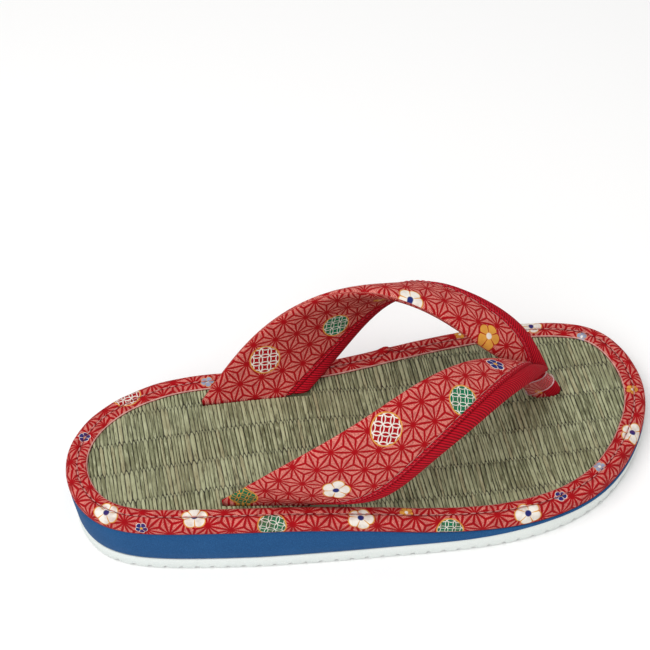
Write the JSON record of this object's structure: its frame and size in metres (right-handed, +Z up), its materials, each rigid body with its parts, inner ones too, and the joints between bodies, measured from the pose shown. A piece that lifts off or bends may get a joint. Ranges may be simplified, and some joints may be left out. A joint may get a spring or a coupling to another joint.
{
  "type": "zori sandal",
  "caption": "Right-foot thong sandal with a rush footbed, foam wedge sole, padded fabric edge and padded V-shaped fabric strap held by a toe post.",
  "frame": {"origin": "middle of the sandal's box in plan, on the floor that it stands on", "axes": "+X from heel to toe, +Y towards the inner (big-toe) side of the right foot, +Z up"},
  "size_m": [0.24, 0.106, 0.067],
  "materials": {
    "white_foam": "matt white foam with ribs",
    "blue_foam": "matt blue foam with fine flecks",
    "board": "plain fibre board",
    "rush": "woven olive-green rush, soft sheen",
    "printed_cotton": "matt printed cotton over padding, red hemp-leaf pattern",
    "strap_cotton": "matt printed cotton over padding, red hemp-leaf pattern",
    "red_twill": "ribbed red band",
    "post_cotton": "folded printed cotton and red band",
    "clear_vinyl": "clear soft vinyl, glossy"
  },
  "bodies": {
    "root": {"outsole": "white_foam", "midsole": "blue_foam", "insole_board": "board", "rush_mat": "rush", "rim_binding": "printed_cotton", "straps": "strap_cotton", "strap_trim": "red_twill", "toe_post": "post_cotton", "toe_sleeve": "clear_vinyl"}
  },
  "joints": []
}
